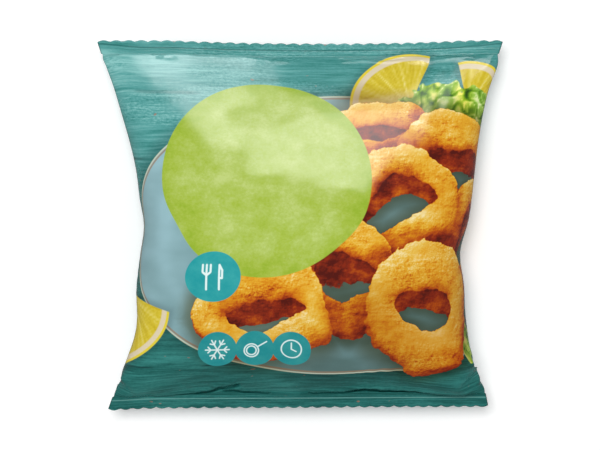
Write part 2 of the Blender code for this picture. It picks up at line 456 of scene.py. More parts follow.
def crease_height(u, path):
    """V of a crease's line at u: its points joined by smooth steps."""
    line_u, line_v = np.array(path).T
    count = np.arange(len(path))
    at = np.interp(u, line_u, count)
    return np.interp(np.floor(at) + ease(at % 1), count, line_v)


def crease_shift(u, v, crease):
    """A fold along the crease's line: how far the film moves down, out and along v.

    A Gaussian groove sinks straight down beside a Gaussian lip, which is pulled over it
    towards the side that the pull's sign gives. The fold fades out at both ends.
    """
    path, depth, width, lip, pull = crease
    first, last = path[0][0], path[-1][0]
    fade = ease((u - first) / CREASE_END) * ease((last - u) / CREASE_END)
    across = (v - crease_height(u, path)) / width * -np.sign(pull)
    groove, over = bell(across, 0, 1), bell(across, LIP_PLACE, LIP_HALF)
    return fade * depth * groove, fade * lip * over, fade * pull * over


def shelf(u, v):
    """The swelling under the top seal: a quick climb that fades exponentially."""
    away = LENGTH_MM - v
    across = ease((u - SHELF_LEFT) / SHELF_BLEND) * ease((SHELF_RIGHT - u) / SHELF_BLEND)
    return SHELF_RISE * ease(away / SHELF_CLIMB) * np.exp(-away / SHELF_FADE) * across


def film_relief(u, v):
    """How far the belly's film stands out from its smooth form, in millimetres.

    Lumps and dimples of plane waves, gathers of cosines that fade away from the seals,
    and a Gaussian for each swell.
    """
    belly, relief = ease(np.minimum(v, LENGTH_MM - v) / BELLY_REACH), 0.0
    for size, height, count in (LUMPS, DIMPLES):
        relief = relief + belly * height * plane_waves(u, v, size, count)
    for end, reach in zip((v, LENGTH_MM - v), GATHER_REACHES):
        gathers = sum(
            np.cos(2 * math.pi * (u * waves / GIRTH_MM + phase))
            for waves, phase in zip(GATHER_WAVES, RANDOM.uniform(0, 1, len(GATHER_WAVES)))
        )
        relief += GATHER_HEIGHT * gathers * np.exp(-end / reach) * ease(end / GATHER_CLIMB)
    for (place_u, place_v), (reach_u, reach_v), height in SWELLS:
        relief += height * bell(u, place_u, reach_u) * bell(v, place_v, reach_v)
    return relief + shelf(u, v)


def film_room(points):
    """How far the front stands over the back: its height less the back's, whose columns
    are half as many and are joined by straight lines. Zero on the back."""
    back = points[:, -np.arange(BACK_CELLS + 1), 2]
    under = np.repeat(back, 2, axis=1)[:, :-1]
    under[:, 1::2] = (back[:, 1:] + back[:, :-1]) / 2
    room = np.zeros(points.shape[:2])
    room[:, :FRONT_CELLS + 1] = points[:, :FRONT_CELLS + 1, 2] - under
    return room


def add_relief(points):
    """Moves the belly's film out along its normals by the relief, and folds its creases."""
    normals, upward = outward_normals(points), unit(np.gradient(points, axis=0))
    belly = slice(BAND_ROWS, len(points) - BAND_ROWS)
    u, v = FILM_U[None, :], FILM_V[belly, None]
    front = ease((CREASE_LIMIT - np.abs(u)) / CREASE_FADE)
    down, out, along = sum(front * np.array(crease_shift(u, v, crease)) for crease in CREASES)
    down = np.minimum(down, CREASE_ROOM * film_room(points)[belly] / MM)
    out = out + film_relief(u, v)
    fade = ease(np.minimum(v, LENGTH_MM - v) / CREASE_CLIMB)[..., None] * MM
    moved = points.copy()
    moved[belly] += fade * (normals[belly] * out[..., None] + upward[belly] * along[..., None])
    moved[belly, :, 2:] -= fade * down[..., None]
    moved[..., 2] = np.maximum(moved[..., 2], FLOOR_GAP)
    return moved


# ---- meshes

def grid_faces(rows, ring):
    """Quads of a grid of rows whose columns close round, facing outward."""
    index = np.arange(rows * ring).reshape(rows, ring)
    after = np.roll(index, -1, 1)
    quads = np.stack([index[:-1], after[:-1], after[1:], index[1:]], axis=-1)
    return quads.reshape(-1, 4)


def edge_faces(first, at_top):
    """Triangles that close a seal's cut edge, two front cells to each back cell."""
    ring = FRONT_CELLS + BACK_CELLS
    front = first + np.arange(FRONT_CELLS + 1)
    back = first + (ring - np.arange(BACK_CELLS + 1)) % ring
    back[-1] = front[-1]
    f0, f1, f2 = front[:-2:2], front[1::2], front[2::2]
    b0, b1 = back[:-1], back[1:]
    groups = [(b0, f1, f0), (b0, b1, f1), (b1, f2, f1)]
    faces = np.concatenate([np.stack(group, axis=-1) for group in groups])
    faces = faces[(faces != np.roll(faces, 1, 1)).all(1)]
    return faces[:, ::-1] if at_top else faces


def fin_seal(points):
    """The fin seal, folded flat beside the back's centre line, and its faces.

    A strip that follows the film's back, with its outer face its thickness off the inner
    one and ribbed lengthways by a cosine.
    """
    share = np.linspace(0, 1, FIN_CELLS + 1)
    column = FRONT_CELLS + BACK_CELLS / 2 + share * FIN_WIDTH / (2 * FILM_HALF / BACK_CELLS)
    low = np.floor(column).astype(int)
    part = (column - low)[:, None]
    grids = points, outward_normals(points)
    base, out = (grid[:, low] * (1 - part) + grid[:, low + 1] * part for grid in grids)
    ribs = FIN_RIB_DEPTH * np.cos(2 * math.pi * FIN_RIBS * share)[:, None]
    outer = base + out * (FIN_GAP + FIN_THICKNESS + ribs)
    inner = base + out * FIN_GAP
    strip = np.concatenate([outer, inner[:, ::-1]], axis=1)
    rows, ring, _ = strip.shape
    near = np.arange(FIN_CELLS)
    far = ring - 1 - near
    cap = np.stack([near, near + 1, far - 1, far], axis=-1)
    faces = np.concatenate([grid_faces(rows, ring), cap[:, ::-1], cap + (rows - 1) * ring])
    return strip, faces.tolist()


def new_object(name, data):
    """An object in the scene that holds a mesh, a light or a camera."""
    made = bpy.data.objects.new(name, data)
    bpy.context.scene.collection.objects.link(made)
    return made


def new_piece(name, points, faces):
    """A smooth mesh object from arrays, its place in its mesh."""
    mesh = bpy.data.meshes.new(name)
    mesh.from_pydata(points.reshape(-1, 3).tolist(), [], faces)
    mesh.polygons.foreach_set("use_smooth", np.full(len(mesh.polygons), True))
    return new_object(name, mesh)


def build_film():
    """The film's piece and its points, as rows from the bottom edge to the top edge."""
    belly = fine_film(fit_to_frame(relaxed_film()))
    points = add_relief(np.concatenate([seal_band(False), belly, seal_band(True)]))
    rows, ring, _ = points.shape
    edges = edge_faces(0, at_top=False), edge_faces((rows - 1) * ring, at_top=True)
    faces = [face for group in (grid_faces(rows, ring), *edges) for face in group.tolist()]
    return new_piece("printed_film", points, faces), points


# ---- the print's fields

# The print's shapes are worked out at every point of the film's mesh as attributes, all in
# film millimetres. Each ring: centre, half axes, tilt, tube radius, start.
RINGS = (
    ((38, 150), (23, 12), 8, 7.5, 0.3),
    ((88, 134), (29, 17), -22, 8.6, 1.1),
    ((101, 94), (20, 24), -30, 9.0, 2.0),
    ((49, 112), (30, 21), 20, 9.6, 2.7),
    ((27, 75), (26, 18), -18, 9.0, 3.9),
    ((-20, 57), (32, 18), 6, 9.4, 4.6),
    ((68, 59), (26, 23), 12, 10.0, 5.5),
)
RING_WARP, RING_WARP_SIZE, RING_WARP_WAVES = 1.9, 40, 12
NEAREST_STEPS, LONGEST_STEP = 6, 0.4
# How a ring's tube swells round it: height, lobes and turn by the ring's start.
TUBE_SWELLS = ((0.12, 2, 1.0), (0.08, 3, 2.3), (0.03, 7, 5.0))
# A ring's light: its direction, the ground light and its gain, the gloss, and what its edge
# gains or loses where it leans up or down the pack.
RING_LIGHT = (-0.46, 0.66, 0.60)
TOP_LIGHT, TOP_GAIN, TOP_LOWEST = 0.46, 0.26, -0.5
GLOSS, GLOSS_WIDTH = 0.15, 0.08
BACKLIT = (0.3, 0.9, 0.2)
RIM_GLOW, GLOW_REACH = 0.22, 1.0
RIM_SHADE, SHADE_REACH = 0.14, 2.0
# The walls outside a ring and in its hole: how far they go down the pack, the light at
# their top, its change a millimetre, and over how far.
OUTER_WALL, INNER_WALL = (2.4, 0.26, -0.040, 4), (11.0, 0.07, 0.014, 12)

# Each slice of lemon: its tip, its radius, where it faces and half its angle, in degrees.
SLICES = (
    ((60, 165), 34, 130, 60),
    ((93, 164), 29, 62, 42),
    ((-114, 66), 41, -52, 38),
)
MEMBRANE_STEP = math.radians(27)
# The flesh's streaks: waves a radian, and how they bend outward.
STREAKS = ((23, 5.1), (37, -3.7), (61, 8.3), (94, -6.9))

# The leaves' lobes: centre and radius.
LEAF_LOBES = (
    ((60, 163), 9), ((71, 168), 11), ((84, 167), 12), ((98, 164), 13), ((108, 155), 11),
    ((92, 154), 12), ((98, 40), 10), ((108, 33), 9),
)

PLATE_CENTRE = (20, 95)
PLATE_HALF = (124, 77)
FAR_AWAY = 60.0


def turned(u, v, centre, degrees):
    """A place seen from a centre, turned back by an angle."""
    turn = math.radians(degrees)
    x, y = u - centre[0], v - centre[1]
    return x * math.cos(turn) + y * math.sin(turn), y * math.cos(turn) - x * math.sin(turn)


def ring_tube(u, v, ring):
    """Depth inside a ring's outline, the lean of its surface, and depth inside its hole.

    The ellipse's nearest point comes from a few Gauss-Newton steps, and the tube round it
    swells by a few sines.
    """
    centre, (wide, tall), tilt, radius, start = ring
    x, y = turned(u, v, centre, tilt)
    angle = np.arctan2(y * wide, x * tall)
    for _ in range(NEAREST_STEPS):
        sine, cosine = np.sin(angle), np.cos(angle)
        miss = (y - tall * sine) * tall * cosine - (x - wide * cosine) * wide * sine
        pace = (wide * sine) ** 2 + (tall * cosine) ** 2
        angle = angle + np.clip(miss / pace, -LONGEST_STEP, LONGEST_STEP)
    across_x, across_y = x - wide * np.cos(angle), y - tall * np.sin(angle)
    swell = sum(rise * np.sin(lobes * angle + turn * start) for rise, lobes, turn in TUBE_SWELLS)
    tube = radius * (1 + swell)
    lean = turned(across_x / tube, across_y / tube, (0, 0), -tilt)
    hole = 1 - np.hypot(x / wide, y / tall)
    return tube - np.hypot(across_x, across_y), lean, hole


def ring_field(u, v, ring):
    """Edges of a ring's top and of its whole side, and the light on both.

    Across the tube the surface rises as a circle and is lit by the cosine of its angle to
    the light, with a soft gloss. Its edge glows where it leans up the pack and is shaded
    where it leans down. The wall under it is its outline lowered.
    """
    edge, (lean_u, lean_v), hole = ring_tube(u, v, ring)
    flat = np.sqrt(1 - np.minimum(np.hypot(lean_u, lean_v), 1) ** 2)
    facing = lean_u * RING_LIGHT[0] + lean_v * RING_LIGHT[1] + flat * RING_LIGHT[2]
    light = TOP_LIGHT + TOP_GAIN * np.clip(facing, TOP_LOWEST, 1)
    light += GLOSS * np.exp(-(1 - facing) / GLOSS_WIDTH)
    backlit = np.clip(BACKLIT[0] * lean_u + BACKLIT[1] * lean_v + BACKLIT[2], 0, 1)
    deep = np.maximum(edge, 0)
    light += RIM_GLOW * backlit * np.exp(-deep / GLOW_REACH)
    light -= RIM_SHADE * (1 - backlit) * np.exp(-deep / SHADE_REACH)
    outer, inner = (ring_tube(u, v + wall[0], ring)[0] for wall in (OUTER_WALL, INNER_WALL))
    side = np.maximum(edge, np.where(hole > 0, np.maximum(outer, inner), outer))
    outside, inside = (
        top + gain * np.clip(-edge, 0, reach) for _, top, gain, reach in (OUTER_WALL, INNER_WALL)
    )
    return edge, side, light, np.where(hole > 0, inside, outside)


def slice_field(u, v, lemon):
    """A slice's edge, how deep a place lies under its peel, and its light.

    The outline is a sector. Pale membranes fan out from the tip, and fine streaks, a sum
    of sines of the angle, stand for the flesh.
    """
    tip, radius, facing, half_angle = lemon
    x, y = turned(u, v, tip, facing)
    out, angle = np.hypot(x, y), np.arctan2(y, x)
    side = out * np.sin(np.maximum(math.radians(half_angle) - np.abs(angle), -math.pi / 2))
    membrane = np.abs(angle - MEMBRANE_STEP * np.round(angle / MEMBRANE_STEP)) * out
    streaks = sum(np.sin(rate * angle + bend * (out / radius + 1)) for rate, bend in STREAKS)
    light = 0.46 + 0.05 * streaks + 0.26 * bell(membrane, 0, 0.6)
    light += 0.14 * bell(out, 0, 0.3 * radius)
    return np.minimum(radius - out, side), radius - out, light


def leaf_field(u, v):
    """The leaves' frilly edge, their light and their hue.

    The edge joins discs and is roughened by lumps. Dark gaps lie where lumps cross zero,
    and thin pale veins where finer ones do. The edge and the gaps' sides catch the light.
    """
    edge = np.full(np.broadcast(u, v).shape, -FAR_AWAY)
    rise = np.zeros(edge.shape)
    for (lobe_u, lobe_v), radius in LEAF_LOBES:
        reach = radius - np.hypot(u - lobe_u, v - lobe_v)
        rise = np.where(reach > edge, reach / radius, rise)
        edge = np.maximum(edge, reach)
    edge = edge + 1.3 * plane_waves(u, v, 9, 18) + 0.4 * plane_waves(u, v, 4, 18)
    gaps, veins = np.abs(plane_waves(u, v, 13, 20)), np.abs(plane_waves(u, v, 8, 20))
    light = 0.58 - 0.36 * bell(gaps, 0, 0.26) + 0.24 * bell(veins, 0, 0.10)
    light += 0.12 * rise + 0.15 * plane_waves(u, v, 9, 16)
    light += 0.30 * bell(edge, 0.6, 0.8) + 0.20 * bell(gaps, 0.5, 0.14)
    return edge, light, 0.5 + 0.34 * plane_waves(u, v, 16, 14)


def plate_field(u, v):
    """The plate's edge and its light, with a soft bright ring inside the rim.

    The ellipse's distance is (1 - k) over k's slope, where k is the radius in half axes.
    """
    x, y = (u - PLATE_CENTRE[0]) / PLATE_HALF[0], (v - PLATE_CENTRE[1]) / PLATE_HALF[1]
    out = np.maximum(np.hypot(x, y), 1e-3)
    slope = np.hypot(x / PLATE_HALF[0], y / PLATE_HALF[1]) / out
    light = 0.55 - 0.30 * x + 0.12 * y + 0.12 * bell(out, 0.80, 0.05)
    return np.maximum((1 - out) / slope, -FAR_AWAY), light


def write_field(mesh, name, parts):
    """An attribute of four values on the mesh's points, short ones filled with zeros."""
    parts = [*parts, *[np.zeros(parts[0].shape)] * (4 - len(parts))]
    values = np.stack(np.broadcast_arrays(*parts), axis=-1).astype(np.float32)
    mesh.attributes.new(name, "FLOAT_COLOR", "POINT").data.foreach_set("color", values.ravel())


def film_uv(mesh):
    """UV map "film". A face over the back's centre line takes all its u from one side."""
    corner = np.zeros(len(mesh.loops), dtype=np.int32)
    mesh.loops.foreach_get("vertex_index", corner)
    start = np.zeros(len(mesh.polygons), dtype=np.int32)
    mesh.polygons.foreach_get("loop_start", start)
    u = FILM_U[corner % len(FILM_U)]
    count = np.diff(np.append(start, len(corner)))
    lowest = np.repeat(np.minimum.reduceat(u, start), count)
    highest = np.repeat(np.maximum.reduceat(u, start), count)
    u = np.where((highest - lowest > GIRTH_MM / 2) & (u > 0), u - GIRTH_MM, u)
    places = np.stack([u, FILM_V[corner // len(FILM_U)]], axis=-1)
    mesh.uv_layers.new(name="film").uv.foreach_set("vector", places.astype(np.float32).ravel())


def film_print(mesh):
    """The UV map and all the attributes that the printed film's material reads."""
    film_uv(mesh)
    u, v = FILM_U[None, :], FILM_V[:, None]
    warp_u, warp_v = (
        RING_WARP * plane_waves(u, v, RING_WARP_SIZE, RING_WARP_WAVES) for _ in range(2)
    )
    for index, ring in enumerate(RINGS):
        write_field(mesh, f"ring_{index + 1}", ring_field(u + warp_u, v + warp_v, ring))
    for index, lemon in enumerate(SLICES):
        write_field(mesh, f"slice_{index + 1}", slice_field(u, v, lemon))
    write_field(mesh, "leaves", leaf_field(u, v))
    write_field(mesh, "plate", plate_field(u, v))


# ---- materials

TABLE_WHITE, TABLE_GLOW = (0.93, 0.93, 0.93, 1), 0.16


def paint(red, green, blue):
    """A linear colour from a screen's 0 to 255 values."""
    channels = np.array([red, green, blue]) / 255
    linear = np.where(channels <= 0.04045, channels / 12.92, ((channels + 0.055) / 1.055) ** 2.4)
    return (*linear.tolist(), 1.0)


class Nodes:
    """Nodes of a material or a world, made in the order in which they are worked out."""

    def __init__(self, owner, shader="Principled BSDF"):
        owner.use_nodes = True
        self.owner, self.tree = owner, owner.node_tree
        self.shader = self.tree.nodes[shader].inputs

    def join(self, value, socket):
        """Links a socket, or sets a plain value."""
        if isinstance(value, bpy.types.NodeSocket):
            self.tree.links.new(value, socket)
        else:
            socket.default_value = value

    def add(self, kind, inputs, output=0, **settings):
        """A node with its settings and inputs, and one of its outputs."""
        node = self.tree.nodes.new("ShaderNode" + kind)
        for name, value in settings.items():
            setattr(node, name, value)
        for key, value in inputs.items():
            self.join(value, node.inputs[key])
        return node.outputs[output]

    def math(self, operation, *values):
        return self.add("Math", dict(enumerate(values)), operation=operation)

    def vector(self, operation, *values, output=0):
        return self.add("VectorMath", dict(enumerate(values)), output, operation=operation)

    def times(self, first, *others):
        """Values multiplied."""
        for other in others:
            first = self.math("MULTIPLY", first, other)
        return first

    def less(self, first, second):
        return self.math("SUBTRACT", first, second)

    def more(self, base, value, share):
        """A base and a share of a value."""
        return self.math("MULTIPLY_ADD", value, share, base)

    def split(self, vector):
        """The three parts of a vector."""
        return self.add("SeparateXYZ", {0: vector}).node.outputs

    def step(self, value, low, high):
        """A smooth step from 0 at low to 1 at high."""
        return self.add("MapRange", {0: value, 1: low, 2: high}, interpolation_type="SMOOTHSTEP")

    def near(self, value, line, outer, inner=0.1):
        """1 beside a line, and 0 where the value is further off than the outer reach."""
        return self.step(self.math("ABSOLUTE", self.less(value, line)), outer, inner)

    def scale(self, value, low, high, to_low, to_high):
        """A value's range carried over to another."""
        return self.add("MapRange", {0: value, 1: low, 2: high, 3: to_low, 4: to_high})

    def mix(self, share, first, second):
        return self.add("Mix", {0: share, 2: first, 3: second})

    def blend(self, share, first, second):
        """Two colours mixed."""
        return self.add("Mix", {0: share, 6: first, 7: second}, 2, data_type="RGBA")

    def lay(self, edge, soft, under, colour):
        """A colour laid over another where the edge's depth is above zero."""
        return self.blend(self.step(edge, -soft, soft), under, colour)

    def lit(self, colour, light):
        """A colour times a light."""
        return self.add("VectorMath", {0: colour, "Scale": light}, operation="SCALE")

    def tint(self, share, colour, factors):
        """A colour drawn towards itself times three factors."""
        return self.blend(share, colour, self.vector("MULTIPLY", colour, factors))

    def noise(self, place, size_u, size_v, detail=2.0, roughness=0.5):
        """Flat noise whose lumps have the given size along u and v."""
        stretched = self.vector("DIVIDE", place, (size_u, size_v, 1.0))
        inputs = {"Vector": stretched, "Scale": 1.0, "Detail": detail, "Roughness": roughness}
        return self.add("TexNoise", inputs, noise_dimensions="2D")

    def ripple(self, place, *shape):
        """Noise about zero."""
        return self.less(self.noise(place, *shape), 0.5)

    def ramp(self, value, stops):
        """Colours along a value, each stop a position and a colour."""
        node = self.add("ValToRGB", {0: value}).node
        points = node.color_ramp.elements
        for index, (position, colour) in enumerate(stops):
            point = points[index] if index < 2 else points.new(position)
            point.position = position
            point.color = paint(*colour)
        return node.outputs[0]

    def field(self, name):
        """The four values of one of the mesh's attributes."""
        node = self.add("Attribute", {}, 1, attribute_name=name).node
        return (*self.split(node.outputs["Vector"]), node.outputs["Alpha"])


# The print's colours, dark to pale.
WOOD = (
    (0.0, (8, 54, 52)), (0.26, (26, 92, 87)), (0.5, (54, 132, 126)), (0.72, (88, 160, 157)),
    (1.0, (138, 198, 194)),
)
GLAZE = (
    (0.15, (60, 84, 76)), (0.4, (88, 118, 116)), (0.65, (120, 156, 160)),
    (0.95, (150, 188, 196)),
)
FLESH = (
    (0.2, (188, 160, 20)), (0.46, (214, 192, 50)), (0.75, (228, 212, 102)),
    (1.0, (240, 230, 168)),
)
BATTER = (
    (0.0, (84, 20, 12)), (0.14, (140, 42, 16)), (0.28, (186, 84, 12)), (0.44, (212, 134, 18)),
    (0.60, (226, 170, 42)), (0.78, (233, 194, 88)), (1.0, (245, 226, 168)),
)
LEAF = (
    (0.0, (32, 64, 30)), (0.26, (68, 118, 34)), (0.5, (114, 162, 44)), (0.74, (158, 200, 86)),
    (1.0, (228, 240, 170)),
)
LIME = (
    (0.16, (148, 178, 48)), (0.36, (163, 187, 68)), (0.52, (173, 195, 92)),
    (0.74, (191, 209, 124)),
)
TEAL = ((0.3, (26, 150, 156)), (0.7, (58, 168, 168)))
SEAM, RUST = paint(14, 52, 52), paint(176, 112, 88)
CRIMP_SHADE, CRIMP_GLINT = paint(20, 84, 82), paint(130, 190, 184)
RIM_BROWN, RIM_PALE = paint(150, 124, 98), paint(196, 204, 184)
PITH, PEEL = paint(222, 208, 176), paint(226, 206, 58)
LINE_WHITE = paint(226, 244, 242)
BACK_TEAL, PANEL, FIN_TEAL = paint(38, 112, 112), paint(214, 230, 224), paint(44, 120, 118)

# Places and sizes on the print, in film millimetres.
PLANK_WIDTH, FIRST_SEAM, SEAM_WANDER = 37.0, 27.0, 3.0
FOLD_PULL, CRUST_STEP = -2.2, (-0.45, 0.6, 0.0)
CRIMP_DARK, CRIMP_PALE = 201.8, -2.3
DISC_CENTRE, DISC_HALF = (-21.1, 126.9), (57.6, 52.3)
SMALL_DISC_CENTRE, SMALL_DISC_HALF = (-47.9, 75.0), (15.4, 12.9)
SIGN_CENTRES, SIGN_HALF = ((-47.4, 35.3), (-26.6, 35.3), (-6.1, 35.3)), (10.9, 10.6)
SMALL_DISC_LINE, SIGN_LINE, SIGN_LIGHT = 0.55, 0.38, 0.84
FRONT_END = (129.7, 130.3)
PANEL_ACROSS, PANEL_ALONG, PANEL_SOFT = (148, 204), (34, 164), 0.6
# The film's gloss: its roughness from and to, and its crinkles' strength and height.
FILM_ROUGHNESS, CRINKLE_STRENGTH, CRINKLE_HEIGHT = (0.11, 0.15), 0.035, 0.4 * MM


def wood(n, u, v):
    """Painted planks that run across the pack.

    Streaks, strokes, grain and speckle are noise drawn out along u. Every plank has its
    own tone, and the paint is worn, with rusty spots. Under the top seal at the upper left
    it is paler, partly worn paint and partly a painted highlight of the film's glare. The
    seams soften towards the top, and one groove of each seal shows as a line: painted shade
    at the top seal and a painted glint at the bottom one.
    """
    bend = n.times(n.step(n.math("ABSOLUTE", u), 82, 112), n.step(v, 90, 130))
    v = n.more(v, bend, FOLD_PULL)
    place = n.add("CombineXYZ", {0: u, 1: v})
    wander = n.noise(place, 70, 30, 1)
    board = n.math("DIVIDE", n.less(n.more(v, wander, SEAM_WANDER), FIRST_SEAM), PLANK_WIDTH)
    plank = n.add("TexWhiteNoise", {1: n.math("FLOOR", board)}, noise_dimensions="1D")
    tone = n.more(n.scale(v, 0, 160, 0.285, 0.65), plank, 0.08)
    # Painted highlight and wear together: paler paint at the upper left, under the top seal
    # where the film's glare falls.
    pale_wear_and_glare = n.times(n.step(u, 0, -70), n.step(v, 160, 188), n.step(v, 201, 196))
    tone = n.more(tone, pale_wear_and_glare, 0.20)
    tone = n.more(tone, n.ripple(place, 60, 9), 0.36)
    strokes = n.ripple(place, 34, 2.1, 3, 0.6)
    tone = n.more(tone, strokes, n.scale(v, 20, 180, 0.18, 0.42))
    tone = n.more(tone, n.ripple(place, 22, 1.0, 4, 0.62), 0.50)
    speckle = n.ripple(place, 2.2, 0.9, 3, 0.75)
    worn = n.times(n.step(n.noise(place, 60, 14, 0), 0.46, 0.58), n.step(v, 60, 130))
    tone = n.more(tone, speckle, n.more(0.18, worn, 0.50))
    colour = n.ramp(tone, WOOD)
    away = n.times(n.math("PINGPONG", board, 0.5), PLANK_WIDTH)
    seam = n.step(n.math("DIVIDE", away, n.scale(v, 0, 200, 0.7, 1.6)), 1.0, 0.2)
    broken = n.step(n.noise(place, 30, 60, 1), 0.40, 0.56)
    seam = n.times(seam, broken, n.scale(v, 0, 200, 0.8, 0.25))
    colour = n.blend(seam, colour, SEAM)
    spots = n.step(n.noise(place, 6.0, 3.0, 1), 0.78, 0.84)
    spots = n.times(spots, n.step(n.noise(place, 40, 30, 0), 0.50, 0.58), 0.6)
    colour = n.blend(spots, colour, RUST)
    colour = n.blend(n.times(n.near(v, CRIMP_DARK, 0.6), 0.55), colour, CRIMP_SHADE)
    return n.blend(n.times(n.near(v, CRIMP_PALE, 0.5), 0.45), colour, CRIMP_GLINT)


def shaded(n, under, shadow, share):
    """What lies under a thing, in its shadow."""
    return n.lit(under, n.more(1.0, shadow, -share))


def plate(n, place, under):
    """A blue-grey plate with a thin pale and brown rim, and its shadow on the wood."""
    edge, light, _, _ = n.field("plate")
    under = shaded(n, under, n.step(edge, -10.0, 0.0), 0.35)
    glaze = n.ramp(n.more(light, n.ripple(place, 30, 14), 0.30), GLAZE)
    glaze = n.blend(n.times(n.near(edge, 1.5, 0.9, 0.2), 0.8), glaze, RIM_BROWN)
    glaze = n.blend(n.step(edge, 1.1, 0.5), glaze, RIM_PALE)
    return n.lay(edge, 0.25, under, glaze)


def lemon_slice(n, name, grain, under):
    """A slice: streaked flesh, pale pith and yellow peel by the depth under the peel."""
    edge, deep, light, _ = n.field(name)
    colour = n.ramp(n.more(light, grain, 0.30), FLESH)
    colour = n.blend(n.step(deep, 5.2, 4.2), colour, PITH)
    colour = n.blend(n.step(deep, 1.9, 1.2), colour, PEEL)
    under = shaded(n, under, n.step(edge, -5.0, 0.0), 0.25)
    return n.lay(edge, 0.3, under, colour)


def leaves(n, grain, under):
    """Frilly green leaves, yellower where the hue is high."""
    edge, light, hue, _ = n.field("leaves")
    colour = n.ramp(n.more(light, grain, 0.25), LEAF)
    colour = n.tint(n.times(hue, 0.6), colour, (1.35, 1.1, 0.35))
    return n.lay(edge, 0.4, under, colour)


def crust(n, place):
    """Height of the crisp batter: soft lumps, crumbs and flakes with sharp edges."""
    lumps = n.noise(place, 6.5, 5.5)
    crumbs = n.noise(place, 1.9, 1.6, 3, 0.65)
    flakes = n.step(n.noise(place, 4.4, 3.4, 4, 0.68), 0.50, 0.60)
    return n.more(n.more(n.times(crumbs, 0.9), lumps, 1.8), flakes, 0.30)


def rings(n, place, u, v, under):
    """The pile of battered rings, from the back to the front.

    Each ring shades what lies under it, then comes its side and its top, with an uneven
    edge. The crust's relief is its height less its height a little further along the
    light. One ramp turns the tone into colour, deeper in amber patches and at the lower
    right.
    """
    crumbs = n.ripple(place, 2.6, 2.2, 3, 0.6)
    uneven = n.more(n.times(crumbs, 1.1), n.ripple(place, 6.5, 5.5), 3.6)
    tone, cover, ground = 0.0, 0.0, 0.0
    for index in range(len(RINGS)):
        edge, side, light, wall_light = n.field(f"ring_{index + 1}")
        shadow = n.step(side, -13.0, 1.0)
        ground = n.math("MAXIMUM", ground, shadow)
        tone = n.times(tone, n.more(1.0, shadow, -0.58))
        wall = n.step(n.math("ADD", uneven, side), -0.15, 0.35)
        tone = n.mix(wall, tone, wall_light)
        top = n.step(n.math("ADD", uneven, edge), -0.15, 0.45)
        tone = n.mix(top, tone, light)
        cover = n.math("MAXIMUM", cover, wall)
    beyond = n.vector("ADD", place, CRUST_STEP)
    relief = n.less(crust(n, place), crust(n, beyond))
    crisp = n.scale(n.noise(place, 24, 18, 1), 0.38, 0.62, 0.3, 1.3)
    lit = n.times(n.step(tone, 0.1, 0.55), crisp)
    tone = n.more(tone, n.ripple(place, 12, 9, 4, 0.62), 0.62)
    tone = n.more(tone, relief, n.more(0.10, lit, 0.24))
    tone = n.more(tone, n.times(n.ripple(place, 1.8, 1.6, 3, 0.7), lit), 0.34)
    sparkle = n.step(n.noise(place, 1.5, 1.3, 2, 0.6), 0.62, 0.74)
    tone = n.more(tone, n.times(sparkle, lit), 0.15)
    under = n.tint(n.times(ground, 0.9), under, (0.46, 0.36, 0.22))
    amber = n.times(n.step(n.noise(place, 34, 26, 1), 0.44, 0.60), 0.7)
    colour = n.tint(amber, n.ramp(tone, BATTER), (0.98, 0.86, 0.60))
    low = n.times(n.step(v, 88, 56), n.step(u, 4, 40), 0.8)
    colour = n.tint(low, colour, (0.74, 0.60, 0.42))
    return n.blend(cover, under, colour)


def disc(n, place, centre, half):
    """Cover of an oval disc, and how far out a place lies in it."""
    away = n.vector("SUBTRACT", place, (*centre, 0.0))
    away = n.vector("DIVIDE", away, (*half, 1.0))
    reach = n.vector("LENGTH", away, output=1)
    soft = 0.25 / half[0]
    return n.step(reach, 1 + soft, 1 - soft), reach


def line_away(n, local, start, end):
    """Distance from a straight line with round ends."""
    run = (end[0] - start[0], end[1] - start[1])
    length = run[0] ** 2 + run[1] ** 2
    away = n.vector("SUBTRACT", local, (*start, 0.0))
    share = n.vector("DOT_PRODUCT", away, (run[0] / length, run[1] / length, 0.0), output=1)
    share = n.add("Clamp", {0: share})
    return n.vector("DISTANCE", away, n.lit((*run, 0.0), share), output=1)


def drawing_away(n, local, lines, circles=()):
    """Distance from the nearest of several lines and circles."""
    nearest = FAR_AWAY
    for centre, radius in circles:
        reach = n.vector("DISTANCE", local, (*centre, 0.0), output=1)
        nearest = n.math("MINIMUM", nearest, n.math("ABSOLUTE", n.less(reach, radius)))
    for start, end in lines:
        nearest = n.math("MINIMUM", nearest, line_away(n, local, start, end))
    return nearest


def snowflake(n, local):
    """Six branched arms: one arm, mirrored round by a folded angle."""
    x, y, _ = n.split(local)
    angle = n.math("PINGPONG", n.math("ARCTAN2", y, x), math.pi / 6)
    reach = n.vector("LENGTH", local, output=1)
    arm_x, arm_y = n.times(reach, n.math("COSINE", angle)), n.times(reach, n.math("SINE", angle))
    folded = n.add("CombineXYZ", {0: arm_x, 1: arm_y})
    return drawing_away(n, folded, (((0, 0), (6.6, 0)), ((3.6, 0), (5.2, 1.7))))


def frying_pan(n, local):
    """A round pan seen from above, with its handle."""
    pan = (-1.8, -1.0)
    return drawing_away(n, local, (((1.6, 1.2), (6.6, 4.4)),), ((pan, 4.0), (pan, 2.7)))


def clock(n, local):
    """A clock's rim and two hands."""
    hands = (((0, 0), (0, 3.8)), ((0, 0), (2.6, -1.4)))
    return drawing_away(n, local, hands, (((0, 0), 5.6),))


def cutlery(n, local):
    """A fork and a knife, side by side."""
    fork = (
        ((-3.4, -6.4), (-3.4, 6.0)), ((-5.6, 2.6), (-5.6, 6.0)), ((-1.2, 2.6), (-1.2, 6.0)),
        ((-5.4, 2.2), (-3.4, 0.8)), ((-1.4, 2.2), (-3.4, 0.8)),
    )
    knife = ((3.6, -6.4), (3.6, 6.0), (5.2, 3.4), (5.2, -0.6), (3.6, -0.6))
    return drawing_away(n, local, (*fork, *zip(knife[:-1], knife[1:])))


